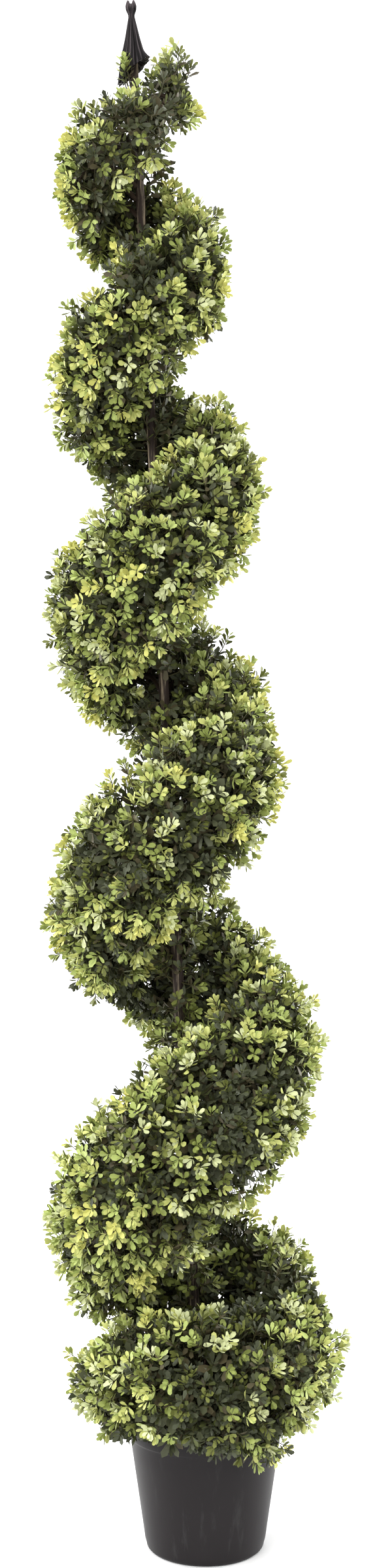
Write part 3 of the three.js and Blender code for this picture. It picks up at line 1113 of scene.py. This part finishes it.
class TOPIARY_OT_pole(bpy.types.Operator):
    """Grows the bark's relief round the leaning pole"""

    bl_idname = "topiary.pole"
    bl_label = "Pole"
    SIDES = 28
    ROWS = 480
    # Heights along the pole, radius at its top, and how far the mesh stays inside the solid.
    FOOT_HEIGHT = 0.0205
    TOP_INSET = 0.0005
    FOOT_INSET = 0.0004
    TOP_RADIUS = 0.0053
    # Bark: ridges round the pole and along it, their depth, and the depth of the knots.
    RIDGES_ROUND = 3.2
    RIDGES_ALONG = 16
    RIDGE_DEPTH = 0.06
    KNOT_DEPTH = 0.05

    def execute(self, context):
        lean = context.scene.strand_sizes.lean
        low, high = self.FOOT_HEIGHT, (POLE_HIGH.z - self.TOP_INSET) / math.cos(lean)
        foot, top = (POLE_HIGH.y - POLE_LOW.y) / 2 - self.FOOT_INSET, self.TOP_RADIUS
        c, s = math.cos(lean), math.sin(lean)

        def leaning(x, y, z):
            return (x * c - z * s, y, z * c + x * s)

        rings = []
        for z in np.linspace(low, high, self.ROWS):
            base = foot + (top - foot) * (z - low) / (high - low)

            def relief(turns, base=base, z=z):
                around = [(self.RIDGES_ROUND * math.cos(u), self.RIDGES_ROUND * math.sin(u)) for u in turns]
                ridge = [noise.noise(Vector((x, y, z * self.RIDGES_ALONG))) for x, y in around]
                knot = noise.noise(Vector((math.cos(base * 9000), z * 9, 4)))
                return base * (1 - self.RIDGE_DEPTH * np.abs(ridge) * 2 + self.KNOT_DEPTH * knot - 0.03)

            rings.append(ring(relief, z, self.SIDES, leaning))
        piece = skin("pole_trunk", rings, pole_bark(context.scene.finishes))
        finished(piece, "pole_bark", "pole")
        return {"FINISHED"}


class TOPIARY_OT_tip(bpy.types.Operator):
    """Pleats the wrap over the pole's tip and gathers it into its knob"""

    bl_idname = "topiary.tip"
    bl_label = "Tip Wrap"
    SIDES = 168

    def execute(self, context):
        lean = context.scene.strand_sizes.lean
        c, s = math.cos(lean), math.sin(lean)
        top = TIP_HIGH.z / c
        slant = 0.8

        def leaning(x, y, z):
            hem = max(0.0, min(1.0, (top - 0.058 - z) / 0.025))
            prong = max(0.0, 1 - (top - z) / 0.012)
            z = z + slant * x * hem + 0.0030 * prong * math.cos(2 * math.atan2(y, x))
            return (x * c - z * s, y, z * c + x * s)

        # Height below the top, radius, depth of the pleats.
        skirt = [
            (0.083, 0.0205, 0.22),
            (0.076, 0.0186, 0.22),
            (0.066, 0.0155, 0.21),
            (0.056, 0.0122, 0.2),
            (0.044, 0.0091, 0.19),
            (0.034, 0.0070, 0.17),
            (0.026, 0.0053, 0.14),
            (0.021, 0.0043, 0.1),
            (0.0195, 0.0039, 0.08),
            (0.0165, 0.0039, 0.1),
            (0.0135, 0.0050, 0.25),
            (0.0105, 0.0064, 0.36),
            (0.0070, 0.0068, 0.42),
            (0.0040, 0.0058, 0.45),
            (0.0012, 0.0042, 0.4),
        ]
        inner = [(0.0025, 0.0028, 0.4), (0.007, 0.0030, 0.3), (0.011, 0.0015, 0.1)]
        hollow = [(0.074, 0.0078, 0.0), (0.081, 0.0150, 0.2)]
        knots = [(0.052, 0.0062, 0.0)] + hollow + skirt + inner

        def smooth_between(a, b, steps):
            return [tuple(np.array(a) * (1 - u) + np.array(b) * u) for u in np.arange(steps) / steps]

        rows = [row for a, b in zip(knots, knots[1:]) for row in smooth_between(a, b, 4)] + [knots[-1]]
        rings = []
        for drop, radius, depth in rows:

            def pleated(turns, radius=radius, depth=depth, drop=drop):
                sway = 0.5 * math.sin(drop * 90)
                fold = 0.5 - 0.5 * np.cos(11 * turns + sway + 1.4 * np.sin(2 * turns + 1))
                fine = 0.5 - 0.5 * np.cos(29 * turns + 2.2 * sway)
                return radius * (1 - depth * (0.75 * fold**1.5 + 0.25 * fine))

            rings.append(ring(pleated, top - drop, self.SIDES, leaning))
        piece = skin("tip_wrap", rings, pleated_wrap(context.scene.finishes), "wrap")
        finished(piece, "tip_wrap", "tip_sheath")
        return {"FINISHED"}


class TOPIARY_OT_boughs(bpy.types.Operator):
    """Grows the boughs out of the pole and the limbs out of the boughs"""

    bl_idname = "topiary.boughs"
    bl_label = "Boughs And Limbs"
    # Radii at the root and at the tip.
    BOUGH = (0.0034, 0.0021)
    LIMB = (0.0021, 0.0012)

    def execute(self, context):
        grown = Growth.of(context.scene)
        wood = plain("Bough", context.scene.finishes.wood, 0.75)
        finished(tubes("boughs", grown.boughs, *self.BOUGH, 7, wood), "pole_bark", *MASSES)
        finished(tubes("limbs", grown.limbs, *self.LIMB, 5, wood), "pole_bark", *MASSES)
        return {"FINISHED"}


class TOPIARY_OT_twigs(bpy.types.Operator):
    """Grows the twigs and the stems of the sprigs"""

    bl_idname = "topiary.twigs"
    bl_label = "Twigs"
    # Radii at the root and at the tip.
    TWIG = (0.0010, 0.0005)

    def execute(self, context):
        grown = Growth.of(context.scene)
        stem = plain("Sprig Stem", context.scene.finishes.twig, 0.6)
        finished(tubes("twigs", grown.stems, *self.TWIG, 3, stem), "leaf_green", *MASSES)
        return {"FINISHED"}


class TOPIARY_OT_leaves(bpy.types.Operator):
    """Sets the leaves on the sprigs, one piece for each tone"""

    bl_idname = "topiary.leaves"
    bl_label = "Leaves"

    def execute(self, context):
        sizes, finishes = context.scene.sprig_sizes, context.scene.finishes
        foot, stalk, face, size, tone = leaf_places(Growth.of(context.scene).sprigs)
        tree = leaf_tree()
        full, simple = leaf_shapes("Full Leaf", FULL_LEAF), leaf_shapes("Simple Leaf", SIMPLE_LEAF)
        for number_of, name in enumerate(LEAF_TONES):
            mine = tone == number_of
            mesh = point_mesh(name, foot[mine], stalk=stalk[mine], face=face[mine], size=size[mine])
            piece = new_object(f"leaves_{name}", mesh)
            look = plain(f"Leaf {name.title()}", getattr(finishes, name), 0.5)
            shapes = simple if name in SIMPLE_TONES else full
            given = {"leaf_shapes": shapes, "leaf_length": sizes.leaf, "seed": number_of}
            node_modifier(piece, tree, material=look, **given)
            finished(plain_mesh(piece), "leaf_green", *MASSES)
        return {"FINISHED"}


class TOPIARY_OT_stage(bpy.types.Operator):
    """Lays the floor, hangs the lights and sets up the camera"""

    bl_idname = "topiary.stage"
    bl_label = "Stage"
    DISTANCE = 2.333
    EYE_HEIGHT = 0.902
    EYE_ASIDE = -0.011
    VIEW_HEIGHT = 1.8595
    FLOOR_REACH = 14
    SKY_STRENGTH = 1.4

    def execute(self, context):
        scene = context.scene
        self.floor()
        self.daylight(scene)
        self.skylight("Key Light", (-0.55, -0.75, 0.9), 45, 2.6)
        self.softbox("Left Light", (-2.6, 0.9, 1.3), 1.8, 110)
        self.softbox("Right Light", (2.6, 0.9, 1.3), 1.8, 110)
        self.softbox("Back Light", (0.3, 2.8, 2.6), 2.2, 60)
        lens = bpy.data.cameras.new("Camera")
        lens.sensor_fit = "VERTICAL"
        lens.angle = 2 * math.atan(self.VIEW_HEIGHT / 2 / self.DISTANCE)
        camera = new_object("Camera", lens)
        camera.location = (self.EYE_ASIDE, -self.DISTANCE, self.EYE_HEIGHT)
        camera.rotation_euler = (math.pi / 2, 0, 0)
        scene.camera = camera
        scene.view_settings.view_transform = "Standard"
        return {"FINISHED"}

    def floor(self):
        mesh = bpy.data.meshes.new("floor")
        reach = self.FLOOR_REACH
        corners = [(-reach, -reach, 0), (reach, -reach, 0), (reach, reach, 0), (-reach, reach, 0)]
        mesh.from_pydata(corners, [], [(0, 1, 2, 3)])
        mesh.materials.append(material("Pale Floor", Base_Color=(0.64, 0.64, 0.64, 1), Roughness=0.9))
        new_object("floor", mesh)

    def daylight(self, scene):
        world = bpy.data.worlds.new("Studio")
        world.use_nodes = True
        world.node_tree.nodes["Background"].inputs["Color"].default_value = (1, 1, 1, 1)
        world.node_tree.nodes["Background"].inputs["Strength"].default_value = self.SKY_STRENGTH
        scene.world = world

    def skylight(self, name, towards, spread, power):
        lamp = bpy.data.lights.new(name, "SUN")
        lamp.angle = math.radians(spread)
        lamp.energy = power
        new_object(name, lamp).rotation_euler = Vector(towards).to_track_quat("Z", "Y").to_euler()

    def softbox(self, name, place, size, power):
        lamp = bpy.data.lights.new(name, "AREA")
        lamp.size = size
        lamp.energy = power
        made = new_object(name, lamp)
        made.location = place
        aim = Vector((0, 0, 0.9)) - Vector(place)
        made.rotation_euler = aim.to_track_quat("-Z", "Y").to_euler()


class TOPIARY_PT_panel(bpy.types.Panel):
    """Lists the pieces in the order in which they are made"""

    bl_idname = "TOPIARY_PT_panel"
    bl_label = "Spiral Topiary"
    bl_space_type = "VIEW_3D"
    bl_region_type = "UI"
    bl_category = "Topiary"

    def draw(self, context):
        for operator in OPERATORS:
            self.layout.operator(operator.bl_idname)


OPERATORS = (
    TOPIARY_OT_stage,
    TOPIARY_OT_pot,
    TOPIARY_OT_ballast,
    TOPIARY_OT_pole,
    TOPIARY_OT_tip,
    TOPIARY_OT_boughs,
    TOPIARY_OT_twigs,
    TOPIARY_OT_leaves,
)
GROUPS = {"strand_sizes": StrandSizes, "sprig_sizes": SprigSizes, "pot_sizes": PotSizes, "finishes": Finishes}


def register():
    for made in (*GROUPS.values(), *OPERATORS, TOPIARY_PT_panel):
        bpy.utils.register_class(made)
    for name, group in GROUPS.items():
        setattr(bpy.types.Scene, name, bpy.props.PointerProperty(type=group))


def unregister():
    for name in GROUPS:
        delattr(bpy.types.Scene, name)
    for made in (TOPIARY_PT_panel, *reversed(OPERATORS), *GROUPS.values()):
        bpy.utils.unregister_class(made)


def main():
    register()
    for operator in OPERATORS:
        getattr(bpy.ops.topiary, operator.bl_idname.split(".")[1])()


if __name__ == "__main__":
    main()
